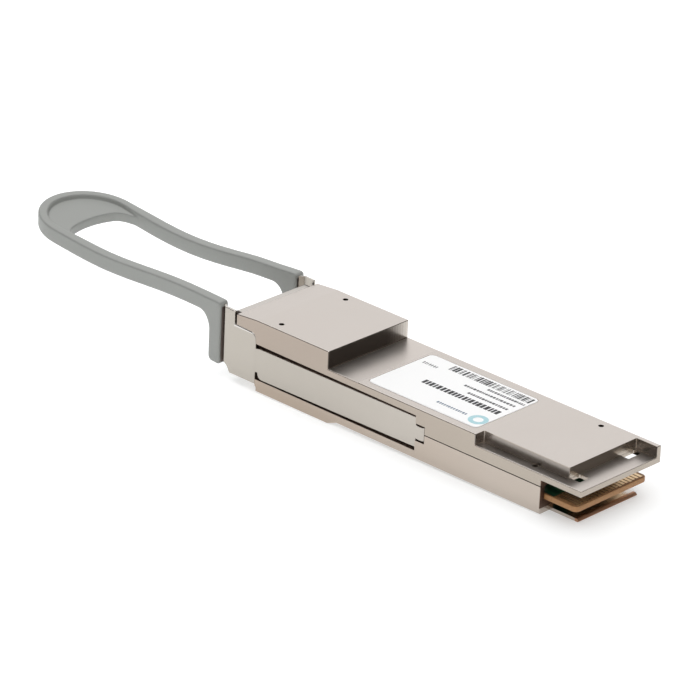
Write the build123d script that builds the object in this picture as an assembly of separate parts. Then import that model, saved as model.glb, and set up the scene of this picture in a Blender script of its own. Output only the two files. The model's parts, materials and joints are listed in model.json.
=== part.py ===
from build123d import *
import os
from math import pi, sin, cos, sqrt, radians

# ---------------------------------------------------------------------------
# Pluggable four-lane optical transceiver with a duplex LC port and a pull tab.
# Design axes: +X towards the electrical end, +Z towards the label side,
# Y across the width.  Design x = 0 is the end of the upper tongue and design
# z = 0 is the underside of the part that goes into the cage.  Every piece is
# moved by SHIFT when it is written, which puts the origin at the middle of
# the footprint, level with the underside of the foot.
# ---------------------------------------------------------------------------

# --- driving dimensions (mm) -----------------------------------------------
WIDTH = 18.35            # body width
HW = WIDTH / 2
HEIGHT = 8.5             # body height inside the cage
X_STOP = -52.35          # rear wall of the hood, which stops on the cage mouth
X_KINK = -67.9           # where the hood starts to slope
X_FRONT = -72.4          # front edge of the covers
X_BEZEL = -74.0          # front face of the port block
Z_HOOD = 11.53           # hood top
Z_HOOD_FRONT = 11.17     # hood top at the front edge
Z_SEAM = 4.55            # parting line of the two covers
Z_FOOT = -0.75           # underside of the foot
X_FOOT_END = -52.05
X_FOOT_RAMP = -50.1
X_REAR = -7.8            # end of the lower cover's walls
Z_TONGUE0, Z_TONGUE1 = 5.66, 6.65   # upper tongue, thin part
X_PLATE_END = -4.12      # end of the raised plate on the upper tongue
Y_CHANNEL = -7.18        # inner wall of the side channel
X_CHANNEL = -21.3        # start of the side channel
LIP = 0.88               # far side lip of the tongue

ROOF = 0.95              # roof and floor thickness
NOSE_FLOOR = 1.1         # top of the floor under the port block
GROOVE_Y = 8.42          # floor of the latch groove, from the middle
GROOVE_Z0, GROOVE_Z1 = 1.3, 7.25
GROOVE_X1 = -33.55
TIP_X1 = -31.62
POCKET_Y = 8.58          # side wall of the nose behind the arm plates

ARM_T = 0.4              # latch arm sheet thickness
ARM_IN = 8.6             # inner face of the long strip
PLATE_IN = 8.85          # inner face of the side plate
PLATE_ROOT = 8.25        # inner face where the plate enters the pull tab
STRIP_Z0, STRIP_Z1 = 1.8, 6.87
TRAVEL = 2.2             # latch slider travel

CARD_T = 1.0             # paddle card thickness
CARD_Z0 = 2.15
CARD_HW = 8.21           # paddle card half width
CARD_X1 = -1.45
CARD_X0 = -50.4
PAD_PITCH = 0.8
PAD_COUNT = 19

LC_PITCH = 6.25
LC_Z = 4.3               # height of the fibre axes
LC_W, LC_H = 4.9, 4.8    # port mouth
FERRULE_R = 0.626        # sleeve bore

SCREW_NOSE = (-64.4, 7.3)
SCREW_TAIL = -10.5
TAIL_Y = {1: 7.45, -1: 7.66}   # the near screw stands clear of the channel wall
TAP_R = 0.45
SPRING_X0, SPRING_X1 = -62.6, -56.6    # spring pocket
SPRING_Y, SPRING_Z = 7.65, 3.0
SPRING_R = 0.62          # mean coil radius
WIRE_R = 0.11

LOOP_END = -124.4        # far end of the pull tab
LEG_X0, LEG_X1 = -78.4, -75.8
LEG_IN = 7.75            # inner face of the legs
LEG_Z0 = 1.3
TAB_H = 2.6

SHIFT = Pos(-LOOP_END / 2, 0, -Z_FOOT)

os.makedirs("parts", exist_ok=True)


def bx(x0, x1, y0, y1, z0, z1):
    return Pos((x0 + x1) / 2, (y0 + y1) / 2, (z0 + z1) / 2) * Box(x1 - x0, y1 - y0, z1 - z0)


def both(x0, x1, y0, y1, z0, z1):
    """A box on each side of the middle plane."""
    return bx(x0, x1, y0, y1, z0, z1) + bx(x0, x1, -y1, -y0, z0, z1)


def side_prism(pts, y0, y1):
    """Outline in X and Z, extruded along Y."""
    f = Face(Wire.make_polygon([Vector(x, y0, z) for x, z in pts], close=True))
    return extrude(f, amount=y1 - y0, dir=(0, 1, 0))


def plan_prism(pts, z0, z1):
    """Outline in X and Y, extruded along Z."""
    f = Face(Wire.make_polygon([Vector(x, y, z0) for x, y in pts], close=True))
    return extrude(f, amount=z1 - z0, dir=(0, 0, 1))


def rbox(x0, x1, y0, y1, z0, z1, r):
    """A box with rounded upright edges."""
    b = bx(x0, x1, y0, y1, z0, z1)
    return fillet(b.edges().filter_by(Axis.Z), r)


def zcyl(x, y, z0, z1, r):
    return Pos(x, y, (z0 + z1) / 2) * Cylinder(r, z1 - z0)


def xcyl(x0, x1, y, z, r):
    return Pos((x0 + x1) / 2, y, z) * Rot(0, 90, 0) * Cylinder(r, x1 - x0)


def soften(solid, r, pick=None, note=None):
    """Rounds the picked edges, or leaves the solid as it was."""
    edges = pick(solid) if pick else solid.edges()
    for k in (1.0, 0.7, 0.4):
        try:
            out = fillet(edges, r * k)
            if out.is_valid:
                return out
        except Exception:
            pass
    print("edges left sharp:", note, len(edges))
    return solid


def flip(shape):
    return mirror(shape, about=Plane.XZ)


written = []


def put(name, shape):
    if isinstance(shape, (list, tuple)):
        shape = Compound(children=list(shape))
    shape = SHIFT * shape
    solids = shape.solids()
    out = solids[0] if len(solids) == 1 else Compound(children=list(solids))
    out.label = name
    export_step(out, "parts/%s.step" % name)
    written.append((name, len(solids), round(sum(s.volume for s in solids), 2)))


# ---------------------------------------------------------------------------
# Upper cover: roof, hood, side walls above the parting line, upper tongue
# ---------------------------------------------------------------------------
outer = side_prism([(X_FRONT, Z_SEAM), (X_FRONT, Z_HOOD_FRONT), (X_KINK, Z_HOOD), (X_STOP, Z_HOOD),
                    (X_STOP, HEIGHT), (0, HEIGHT), (0, Z_TONGUE0), (X_REAR, Z_TONGUE0),
                    (X_REAR, Z_SEAM)], -HW, HW)
outer = soften(outer, 0.16, lambda s: s.edges().filter_by(
    lambda e: e.center().Z > HEIGHT - 0.05 and not (abs(e.center().X - X_STOP) < 0.01 and abs(e.center().Z - HEIGHT) < 0.01)
    and e.length < 100), "upper outer")

# side channel and end recess of the tongue, around the raised plate
channel = rbox(X_CHANNEL, 5, -HW - 4, Y_CHANNEL, Z_TONGUE1, HEIGHT + 1, 0.2)
end_cut = rbox(X_PLATE_END, 5, -HW - 4, HW - LIP, Z_TONGUE1, HEIGHT + 1, 0.16)
upper = outer - channel - end_cut
# small round where the plate's near corner stands in the angle of the two cuts
corner = bx(X_PLATE_END - 0.12, X_PLATE_END, Y_CHANNEL, Y_CHANNEL + 0.12, Z_TONGUE1, HEIGHT + 1) \
    - zcyl(X_PLATE_END - 0.12, Y_CHANNEL + 0.12, Z_TONGUE1 - 1, HEIGHT + 2, 0.12)
upper -= corner
# broken edges of the thin tongue
upper = soften(upper, 0.13, lambda s: s.edges().filter_by(lambda e: abs(e.center().Z - Z_TONGUE1) < 0.01 and (
    abs(e.center().X) < 0.01 or abs(e.center().Y + HW) < 0.01)), "tongue")
# windows through the thin tongue
upper -= rbox(X_PLATE_END + 0.02, -2.55, 4.75, 7.8, Z_TONGUE0 - 1, Z_TONGUE1 + 0.5, 0.25)
upper -= rbox(X_PLATE_END + 0.02, -2.2, -6.9, -4.8, Z_TONGUE0 - 1, Z_TONGUE1 + 0.5, 0.25)
# the tongue is thinned underneath round the windows
upper -= both(-4.7, -1.7, 4.2, 8.25, Z_TONGUE0 - 1, 6.1)

# room inside: under the roof, under the hood, and above the card at the rear
inside_hood = bx(X_FRONT - 1, X_STOP - 0.95, -7.0, 7.0, Z_SEAM - 1, 10.25)
inside_mid = bx(X_STOP - 1.2, -31.0, -7.6, 7.6, Z_SEAM - 1, HEIGHT - ROOF)
inside_rear = bx(-31.1, -12.9, -7.9, 7.9, Z_SEAM - 1, HEIGHT - ROOF - 0.2)
inside_rear2 = bx(-23.2, -12.9, -6.3, 7.9, Z_SEAM - 1, HEIGHT - ROOF - 0.2)
keep_channel = bx(X_CHANNEL - 1.2, 0, -7.95, Y_CHANNEL + 1.0, Z_TONGUE0, HEIGHT)
inside_tail = bx(-13.0, X_REAR + 1, -6.1, 6.1, Z_SEAM - 1, Z_TONGUE0)
upper -= inside_hood
upper -= inside_mid
upper -= (inside_rear - keep_channel)
upper -= inside_tail

# latch groove, its tip notch, and the deeper pocket behind the side plates
groove_pts = [(-68.2, GROOVE_Z0), (GROOVE_X1, GROOVE_Z0), (GROOVE_X1, GROOVE_Z1), (-68.2, GROOVE_Z1 + 0.2)]
groove = side_prism(groove_pts, GROOVE_Y, HW + 2) + side_prism(groove_pts, -HW - 2, -GROOVE_Y)
tip_notch = both(GROOVE_X1 - 0.1, TIP_X1, GROOVE_Y, HW + 2, 3.02, 5.92)
pocket_pts = [(X_FRONT - 1, -2), (-68.08, -2), (-68.08, 8.21), (-68.16, 8.66), (-68.465, 9.03), (-68.93, 9.23), (-72.55, 9.37),
              (X_FRONT - 1, 9.4)]
nose_pocket = side_prism(pocket_pts, POCKET_Y, HW + 2) + side_prism(pocket_pts, -HW - 2, -POCKET_Y)
upper = upper - groove - tip_notch - nose_pocket

# ribs that clamp the card edges, bosses for the screws
for s in (1, -1):
    upper += bx(SCREW_TAIL - 2.4, X_REAR - 1.6, min(s * 6.1, s * 8.31), max(s * 6.1, s * 8.31), CARD_Z0 + CARD_T, Z_TONGUE0 + 0.1)
# pad that reaches down to the retimer chip
upper += bx(-30.0, -21.9, -4.2, 4.2, 4.95, HEIGHT - 0.4)
# rib that locates the port block under the hood
upper += bx(-66.2, -65.0, -7.05, 7.05, 9.55, 10.4)

# fine groove along the parting line
upper -= both(-31.8, X_REAR + 1, HW - 0.22, HW + 1, Z_SEAM - 1, Z_SEAM + 0.08)

# tapped screw holes, open at the top
for s in (1, -1):
    upper -= zcyl(SCREW_NOSE[0], s * SCREW_NOSE[1], 3, 13, TAP_R)
    upper -= zcyl(SCREW_TAIL, s * TAIL_Y[s], 2, 13, TAP_R)
# shallow seat for the label
LABEL = (-45.33, -22.71, -7.62, 7.24)
upper -= rbox(LABEL[0] - 0.12, LABEL[1] + 0.12, LABEL[2] - 0.12, LABEL[3] + 0.12, HEIGHT - 0.07, HEIGHT + 1, 1.0)

# ---------------------------------------------------------------------------
# Lower cover: floor, side walls, foot, lower tongue
# ---------------------------------------------------------------------------
lower = side_prism([(X_FRONT, Z_SEAM), (X_FRONT, 0.3), (X_KINK - 0.45, 0.3), (X_KINK, -0.1), (X_KINK, Z_FOOT),
                    (X_FOOT_END, Z_FOOT), (X_FOOT_RAMP, 0), (X_REAR, 0), (X_REAR, Z_SEAM)], -HW, HW)
lower = soften(lower, 0.16, lambda s: s.edges().filter_by(
    lambda e: e.center().Z < 0.31 and abs(abs(e.center().Y) - HW) < 0.01), "lower outer")
lower -= bx(X_FRONT - 1, X_STOP - 1.2, -7.0, 7.0, NOSE_FLOOR, Z_SEAM + 1)
lower -= bx(X_STOP - 1.3, -31.0, -7.6, 7.6, ROOF, Z_SEAM + 1)
lower -= bx(-31.1, -12.9, -7.9, 7.9, ROOF, Z_SEAM + 1)
# card slot with straight sides out of the rear end
lower -= bx(-31.0, X_REAR + 1, -8.31, 8.31, CARD_Z0, Z_SEAM + 1)
lower -= bx(-13.0, X_REAR + 1, -6.1, 6.1, ROOF, Z_SEAM + 1)
lower = lower - groove - tip_notch - nose_pocket
lower -= both(-31.8, X_REAR + 1, HW - 0.22, HW + 1, Z_SEAM - 0.08, Z_SEAM + 1)
# spring pockets, open to the groove
lower -= both(SPRING_X0, SPRING_X1, 6.85, HW, 2.15, 3.85)
lower += both(SPRING_X0 - 0.3, SPRING_X1 + 0.3, 6.4, 6.86, 1.0, Z_SEAM)
# card rests
for s in (1, -1):
    lower += bx(-46.0, -44.6, min(s * 6.4, s * 7.62), max(s * 6.4, s * 7.62), ROOF - 0.1, CARD_Z0)
    lower += bx(-33.6, -32.2, min(s * 6.4, s * 7.62), max(s * 6.4, s * 7.62), ROOF - 0.1, CARD_Z0)
# stop wall between the optical bay and the card bay
lower += bx(-53.6, -52.6, -7.65, 7.65, 0.5, 1.6)
# lower tongue
tongue = side_prism([(X_REAR - 1.5, 0), (-2.15, 0), (-2.0, 0.12), (-2.0, 0.22), (-2.3, 0.5), (X_REAR - 1.5, 0.5)], -6.85, 6.75)
lower += tongue
lower -= bx(-9.6, -7.0, -6.0, 6.0, 0.5, 1.2)
# countersunk screw holes
for s in (1, -1):
    x, y = SCREW_NOSE
    lower -= zcyl(x, s * y, Z_FOOT - 1, Z_SEAM + 1, 0.62)
    lower -= Pos(x, s * y, Z_FOOT + 0.35) * Cone(1.12, 0.62, 0.70)
    x, y = SCREW_TAIL, TAIL_Y[s]
    lower -= zcyl(x, s * y, -1, Z_SEAM + 1, 0.62)
    lower -= Pos(x, s * y, 0.35) * Cone(1.12, 0.62, 0.70)


def countersunk(x, y, z0, length, r=0.42):
    """Small countersunk screw with a cross recess, head down."""
    s = Pos(x, y, z0 + 0.28) * Cone(1.0, r, 0.56)
    s += zcyl(x, y, z0 + 0.5, z0 + length - 0.25, r)
    s += Pos(x, y, z0 + length - 0.125) * Cone(r, 0.28, 0.25)
    s -= bx(x - 0.62, x + 0.62, y - 0.11, y + 0.11, z0 - 0.5, z0 + 0.28)
    s -= bx(x - 0.11, x + 0.11, y - 0.62, y + 0.62, z0 - 0.5, z0 + 0.28)
    return s


nose_screws = [countersunk(SCREW_NOSE[0], s * SCREW_NOSE[1], Z_FOOT + 0.06, 9.0) for s in (1, -1)]
tail_screws = [countersunk(SCREW_TAIL, s * TAIL_Y[s], 0.06, 5.9) for s in (1, -1)]

# ---------------------------------------------------------------------------
# Port block: duplex LC receptacle with its front bezel
# ---------------------------------------------------------------------------
port = bx(X_BEZEL, X_FRONT - 0.02, -8.2, 8.2, 0.45, 10.85)
port = soften(port, 0.5, lambda s: s.edges().filter_by(Axis.X))
port = soften(port, 0.2, lambda s: s.faces().sort_by(Axis.X)[0].edges())
port += bx(X_FRONT - 0.3, -61.2, -6.9, 6.9, NOSE_FLOOR + 0.03, 9.45)
port -= bx(-66.3, -64.9, -7.1, 7.1, 9.2, 11)
for s in (1, -1):
    y = s * LC_PITCH / 2
    port -= bx(X_BEZEL - 1, -64.0, y - LC_W / 2, y + LC_W / 2, LC_Z - LC_H / 2, LC_Z + LC_H / 2)
    port -= bx(X_BEZEL - 1, -71.6, y - 1.65, y + 1.65, LC_Z, 8.75)
    port -= bx(-71.7, -66.5, y - 1.65, y + 1.65, LC_Z, 8.75)
    port -= bx(-71.0, -68.6, y - 2.3, y + 2.3, LC_Z, 8.2)
    port -= xcyl(-65, -60, y, LC_Z, 1.62)
    # lead-in around each mouth
    lead = Pos(X_BEZEL + 0.15, y, LC_Z) * Box(0.3, LC_W + 0.5, LC_H + 0.5)
    port -= lead
# relief for the screw bosses
for s in (1, -1):
    port -= zcyl(SCREW_NOSE[0], s * SCREW_NOSE[1], 0, 12, 1.0)
# room beside the spring pocket wall
port -= both(SPRING_X0 - 0.4, -61.0, 6.3, 7.5, 0, Z_SEAM + 0.1)

# ---------------------------------------------------------------------------
# Optical subassemblies, one for each fibre
# ---------------------------------------------------------------------------


def optical_body(y):
    b = xcyl(-67.2, -60.0, y, LC_Z, 1.45)
    b += xcyl(-61.15, -60.35, y, LC_Z, 2.2)
    b += xcyl(-60.4, -59.6, y, LC_Z, 1.75)
    b += xcyl(-59.65, -58.9, y, LC_Z, 2.2)
    cube = bx(-59.0, -54.9, y - 2.35, y + 2.35, LC_Z - 2.35, LC_Z + 2.35)
    cube = soften(cube, 0.35, lambda s: s.edges())
    b += cube
    b -= xcyl(-67.3, -63.4, y, LC_Z, 1.05)
    b -= xcyl(-63.5, -58.0, y, LC_Z, 0.4)
    return b


def sleeve(y):
    return xcyl(-67.0, -63.45, y, LC_Z, 1.05) - xcyl(-67.2, -63.3, y, LC_Z, FERRULE_R)


def laser_can(y):
    c = xcyl(-54.9, -54.35, y, LC_Z, 2.1)
    c += xcyl(-54.4, -53.85, y, LC_Z, 2.3)
    for dy, dz in ((0.8, 0.8), (-0.8, 0.8), (0.8, -0.8), (-0.8, -0.8)):
        c += xcyl(-53.9, -52.7, y + dy, LC_Z + dz, 0.2)
    return c


def detector_can(y):
    x, z = -57.0, LC_Z + 2.35
    c = zcyl(x, y, z, z + 1.1, 1.75)
    c += zcyl(x, y, z + 1.05, z + 1.6, 2.05)
    for dx, dy in ((0.75, 0.75), (-0.75, 0.75), (0.75, -0.75), (-0.75, -0.75)):
        c += zcyl(x + dx, y + dy, z + 1.55, z + 2.6, 0.2)
    return c


def strip(path, thick, y0, y1):
    """A thin strip that follows a path in X and Z."""
    left, right = [], []
    n = len(path)
    for i, (x, z) in enumerate(path):
        a = path[max(i - 1, 0)]
        b = path[min(i + 1, n - 1)]
        dx, dz = b[0] - a[0], b[1] - a[1]
        k = sqrt(dx * dx + dz * dz)
        nx, nz = -dz / k * thick / 2, dx / k * thick / 2
        left.append((x + nx, z + nz))
        right.append((x - nx, z - nz))
    return side_prism(left + right[::-1], y0, y1)


def arc_pts(cx, cz, r, a0, a1, n):
    return [(cx + r * cos(radians(a0 + (a1 - a0) * i / n)), cz + r * sin(radians(a0 + (a1 - a0) * i / n))) for i in range(n + 1)]


CARD_Z1 = CARD_Z0 + CARD_T


def laser_flex(y):
    path = [(-53.35, 6.2), (-53.35, 4.33)] + arc_pts(-52.25, 4.33, 1.1, 180, 270, 8)[1:] + [(-48.6, 3.23)]
    f = strip(path, 0.12, y - 1.9, y + 1.9)
    for dy, dz in ((0.8, 0.8), (-0.8, 0.8), (0.8, -0.8), (-0.8, -0.8)):
        f -= xcyl(-55, -52.5, y + dy, LC_Z + dz, 0.25)
    return f


def detector_flex(y):
    z = 8.75
    path = [(-59.0, z), (-54.95, z)] + arc_pts(-54.95, z - 0.9, 0.9, 90, 20, 6)[1:]
    path += arc_pts(-53.2, 7.95, 1.0, 200, 265, 5) + [(-52.0, 6.94), (-51.2, 6.9)]
    path += arc_pts(-51.1, 5.9, 1.0, 85, 5, 7)[1:] + [(-50.1, 4.5)] + arc_pts(-49.05, 4.5, 1.05, 185, 265, 6)[1:]
    path += [(-48.0, 3.42), (-46.6, 3.42)]
    f = strip(path, 0.12, y - 1.5, y + 1.5)
    for dx, dy in ((0.75, 0.75), (-0.75, 0.75), (0.75, -0.75), (-0.75, -0.75)):
        f -= zcyl(-57.0 + dx, y + dy, 8, 9.6, 0.24)
    return f


YS = {"left": LC_PITCH / 2, "right": -LC_PITCH / 2}

# retaining plate that drops behind the flanges, and a conductive gasket
gasket = bx(-61.15, -60.36, -6.9, 6.9, NOSE_FLOOR + 0.03, 9.4)
clamp = bx(-60.3, -59.72, -6.9, 6.9, NOSE_FLOOR + 0.03, 9.4)
for s in (1, -1):
    y = s * LC_PITCH / 2
    gasket -= xcyl(-62, -60, y, LC_Z, 2.26)
    clamp -= xcyl(-62, -59, y, LC_Z, 1.8)
    clamp -= bx(-62, -59, y - 1.8, y + 1.8, 0, LC_Z)
    gasket -= bx(-62, -60, min(s * 6.3, s * 7.5), max(s * 6.3, s * 7.5), 0, Z_SEAM + 0.1)
    clamp -= bx(-62, -59, min(s * 6.3, s * 7.5), max(s * 6.3, s * 7.5), 0, Z_SEAM + 0.1)

# ---------------------------------------------------------------------------
# Card with its contacts and parts
# ---------------------------------------------------------------------------
card = plan_prism([(CARD_X0, -7.35), (-30.6, -7.35), (-30.6, -CARD_HW), (CARD_X1, -CARD_HW), (CARD_X1, CARD_HW),
                   (-30.6, CARD_HW), (-30.6, 7.35), (CARD_X0, 7.35)], CARD_Z0, CARD_Z1)
card = soften(card, 0.8, lambda s: s.edges().filter_by(Axis.Z).filter_by(lambda e: e.center().X > CARD_X1 - 0.1))
card = soften(card, 0.22, lambda s: s.edges().filter_by(Axis.Y).filter_by(lambda e: e.center().X > CARD_X1 - 0.1))
for s in (1, -1):
    card -= zcyl(SCREW_TAIL, s * TAIL_Y[s], 0, 6, 0.66)
    card -= bx(SCREW_TAIL - 0.66, SCREW_TAIL + 0.66, min(s * TAIL_Y[s], s * 9), max(s * TAIL_Y[s], s * 9), 0, 6)
    card -= zcyl(-39.5, s * 7.35, 0, 6, 0.6)

pads_top, pads_bottom = [], []
for i in range(PAD_COUNT):
    y = (i - (PAD_COUNT - 1) / 2) * PAD_PITCH
    ground = i % 3 == 0
    x1 = CARD_X1 - (0.32 if ground else 0.42)
    pads_top.append(bx(-6.0, x1, y - 0.27, y + 0.27, CARD_Z1, CARD_Z1 + 0.04))
    pads_bottom.append(bx(-6.0, x1, y - 0.27, y + 0.27, CARD_Z0 - 0.04, CARD_Z0))


def chip(x0, x1, y0, y1, z0, h):
    return soften(bx(x0, x1, y0, y1, z0, z0 + h), 0.08, lambda s: s.faces().sort_by(Axis.Z)[-1].edges())


retimer = chip(-29.4, -22.5, -3.45, 3.45, CARD_Z1 + 0.02, 1.2)
thermal_pad = bx(-29.3, -22.6, -3.4, 3.4, CARD_Z1 + 1.24, 4.93)
driver = [chip(-43.4, -40.4, YS[k] - 1.5, YS[k] + 1.5, CARD_Z1 + 0.02, 0.85) for k in ("left", "right")]
control = chip(-37.9, -33.9, 1.2, 5.2, CARD_Z1 + 0.02, 0.8)
regulator = chip(-37.4, -34.9, -4.4, -1.9, CARD_Z1 + 0.02, 0.9)
inductors = [soften(bx(-19.6, -17.1, y - 1.0, y + 1.0, CARD_Z1 + 0.02, CARD_Z1 + 1.4), 0.15) for y in (-4.4, -1.6, 1.6, 4.4)]
caps = []
for x in (-15.6, -14.4):
    for k in range(9):
        y = -5.2 + 1.3 * k
        caps.append(bx(x, x + 0.6, y - 0.3, y + 0.3, CARD_Z1, CARD_Z1 + 0.5))
for k in range(6):
    y = -6.2 + 2.48 * k
    caps.append(bx(-32.2, -31.2, y - 0.25, y + 0.25, CARD_Z1, CARD_Z1 + 0.5))
for k in range(5):
    caps.append(bx(-45.0, -44.4, -6.0 + 3.0 * k - 0.25, -6.0 + 3.0 * k + 0.25, CARD_Z1, CARD_Z1 + 0.45))
crystal = soften(bx(-37.6, -35.6, -0.75, 0.45, CARD_Z1 + 0.02, CARD_Z1 + 0.75), 0.12)

# ---------------------------------------------------------------------------
# Latch arms: stamped sheet with a side plate, a joggle, a long strip, a tip
# and an inward tab that bears on the return spring
# ---------------------------------------------------------------------------


def sheet(pts, y0, y1, r=None, pick=None):
    s = side_prism(pts, y0, y1)
    return s


def latch_arm():
    plate = side_prism([(-74.95, 1.86), (-74.76, 1.74), (-74.4, 1.45), (-74.1, 1.05), (-73.95, 0.7), (-73.76, 0.45),
                        (-68.1, 0.45), (-68.1, 8.2), (-68.18, 8.64), (-68.48, 9.01), (-68.94, 9.21), (-72.55, 9.35),
                        (-72.85, 9.36), (-72.85, 11.45), (-72.97, 11.55), (-74.95, 11.62)], PLATE_IN, PLATE_IN + ARM_T)
    plate = soften(plate, 0.16, lambda s: s.faces().sort_by(Axis.Y)[-1].edges().filter_by(lambda e: e.center().X > -74.9), "plate")
    bend = plan_prism([(-74.97, PLATE_IN), (-74.94, PLATE_IN), (-74.94, PLATE_IN + ARM_T), (-74.97, PLATE_IN + ARM_T),
                       (-75.72, PLATE_ROOT + ARM_T), (-75.76, PLATE_ROOT + ARM_T), (-75.76, PLATE_ROOT), (-75.72, PLATE_ROOT)], 1.9, 11.58)
    root = side_prism([(-78.0, 1.9), (-75.74, 1.9), (-75.74, 11.58), (-76.4, 11.5), (-78.0, 11.1)], PLATE_ROOT, PLATE_ROOT + ARM_T)
    plate = plate + bend + root
    neck = plan_prism([(-68.35, PLATE_IN + ARM_T - 0.02), (-67.55, ARM_IN + ARM_T), (-67.55, ARM_IN), (-68.35, PLATE_IN + 0.02)],
                      2.55, 6.62)
    st = side_prism([(-67.75, STRIP_Z0 + 0.45), (-67.5, STRIP_Z0 - 0.12), (-67.0, STRIP_Z0 - 0.4), (-33.6, STRIP_Z0),
                     (-33.6, STRIP_Z1), (-67.7, STRIP_Z1 - 0.17), (-67.75, STRIP_Z1 - 0.23)], ARM_IN, ARM_IN + ARM_T)
    st = soften(st, 0.1, lambda s: s.faces().sort_by(Axis.Y)[-1].edges(), "strip")
    tip = plan_prism([(-33.75, ARM_IN), (-33.75, ARM_IN + ARM_T), (-33.3, ARM_IN + ARM_T + 0.06), (-32.7, ARM_IN + ARM_T + 0.14),
                      (-32.25, ARM_IN + ARM_T + 0.08), (-31.95, ARM_IN + ARM_T - 0.12), (-31.92, ARM_IN + 0.05),
                      (-32.3, ARM_IN + 0.02)], 3.32, 5.54)
    tab = bx(SPRING_X1 - 0.5, SPRING_X1 - 0.1, 7.0, ARM_IN + 0.1, 2.3, 3.7)
    a = plate + neck + st + tip + tab
    return a


arm_left = latch_arm()
arm_right = flip(arm_left)


def spring_coil(y):
    x0, x1 = SPRING_X0 + 0.05, SPRING_X1 - 0.55
    r = WIRE_R
    turns = 8
    length = (x1 - x0) - 2 * r
    h = Helix(pitch=length / turns, height=length, radius=SPRING_R)
    start = h @ 0
    tangent = h % 0
    c = Plane(origin=start, z_dir=tangent) * Circle(r)
    w = sweep(c, path=h, is_frenet=True)
    return Pos(x0 + r, y, SPRING_Z) * Rot(0, 90, 0) * w


# ---------------------------------------------------------------------------
# Pull tab: two legs moulded over the latch arms, bowed side bars, finger
# loop with a thin web across its end
# ---------------------------------------------------------------------------
TOP = [(-74.85, 12.0), (-80, 11.93), (-85, 11.8), (-90, 11.46), (-95, 11.08), (-100, 10.86), (-105, 10.93),
       (-110, 11.31), (-115, 11.78), (-120, 12.32), (-126.0, 12.95)]


def spline_edge(pts, tangents=None):
    return Edge.make_spline([Vector(*p) for p in pts], tangents=[Vector(*t) for t in tangents] if tangents else None)


def tab_profile(drop_top, height, legs):
    """Side view of the tab as a solid across the whole width."""
    top = [(x, z - drop_top) for x, z in TOP]
    bot = [(x, z - height) for x, z in TOP]
    Y0 = -11.0
    if legs:
        t = [(LEG_X1 - 0.6, top[0][1] + 0.02)] + top[1:]
        e_top = spline_edge([(x, Y0, z) for x, z in t], [(-1, 0, -0.002), (-1, 0, 0.11)])
        b = bot[1:]
        b[0] = (-80.9, 11.9 - height)
        e_bot = spline_edge([(x, Y0, z) for x, z in b], [(-1, 0, -0.01), (-1, 0, 0.11)])
        p = lambda x, z: Vector(x, Y0, z)
        edges = [
            Edge.make_line(p(LEG_X1, LEG_Z0 + 0.3), p(LEG_X1, t[0][1] - 0.6)),
            Edge.make_tangent_arc(p(LEG_X1, t[0][1] - 0.6), Vector(0, 0, 1), p(t[0][0], t[0][1])),
            e_top,
            Edge.make_line(p(*t[-1]), p(*b[-1])),
            e_bot,
            Edge.make_tangent_arc(p(*b[0]), Vector(1, 0, 0.01), p(LEG_X0, b[0][1] - 2.9)),
            Edge.make_line(p(LEG_X0, b[0][1] - 2.9), p(LEG_X0, LEG_Z0 + 0.9)),
            Edge.make_three_point_arc(p(LEG_X0, LEG_Z0 + 0.9), p(LEG_X0 + 0.2, LEG_Z0 + 0.3), p(LEG_X0 + 0.8, LEG_Z0)),
            Edge.make_line(p(LEG_X0 + 0.8, LEG_Z0), p(LEG_X1 - 0.3, LEG_Z0)),
            Edge.make_three_point_arc(p(LEG_X1 - 0.3, LEG_Z0), p(LEG_X1 - 0.088, LEG_Z0 + 0.088), p(LEG_X1, LEG_Z0 + 0.3)),
        ]
        w = Wire(edges)
    else:
        e_top = spline_edge([(x, Y0, z) for x, z in top])
        e_bot = spline_edge([(x, Y0, z) for x, z in bot])
        w = Wire([e_top, Edge.make_line(Vector(top[-1][0], Y0, top[-1][1]), Vector(bot[-1][0], Y0, bot[-1][1])), e_bot,
                  Edge.make_line(Vector(bot[0][0], Y0, bot[0][1]), Vector(top[0][0], Y0, top[0][1]))])
    return extrude(Face(w), amount=22, dir=(0, 1, 0))


SIDE = [(-74.0, 9.8), (-77.0, 9.62), (-80.0, 9.34), (-85.0, 9.0), (-90.0, 8.6), (-95.0, 8.42), (-100.0, 8.5), (-105.0, 8.68),
        (-110.0, 8.8), (-115.6, 8.8)]
R_END = 8.8


def outline(inset_bar, inset_end, z0, z1, x_open=-74.0):
    """Plan outline of the loop, inset by one amount along the bars and another round the end."""
    cx = LOOP_END + R_END
    bar = []
    for x, y in SIDE[:-1]:
        bar.append((x, y - inset_bar))
    re = R_END - inset_end
    last = (cx, re)
    if abs(inset_bar - inset_end) > 1e-6:
        bar = bar[:-1] + [(-109.0, 8.79 - inset_bar), (-112.0, 8.8 - inset_bar + (inset_bar - inset_end) * 0.35)]
    bar.append(last)
    p = lambda x, y: Vector(x, y, z0)
    t0, t1 = Vector(-1, -0.055, 0), Vector(-1, 0, 0)
    e1 = Edge.make_spline([p(*q) for q in bar], tangents=[t0, t1])
    arc = Edge.make_three_point_arc(p(cx, re), p(cx - re, 0), p(cx, -re))
    e2 = Edge.make_spline([p(x, -y) for x, y in bar[::-1]], tangents=[Vector(1, 0, 0), Vector(1, -0.055, 0)])
    close = Edge.make_line(p(bar[0][0], -bar[0][1]), p(bar[0][0], bar[0][1]))
    return extrude(Face(Wire([e1, arc, e2, close])), amount=z1 - z0, dir=(0, 0, 1))


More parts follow.
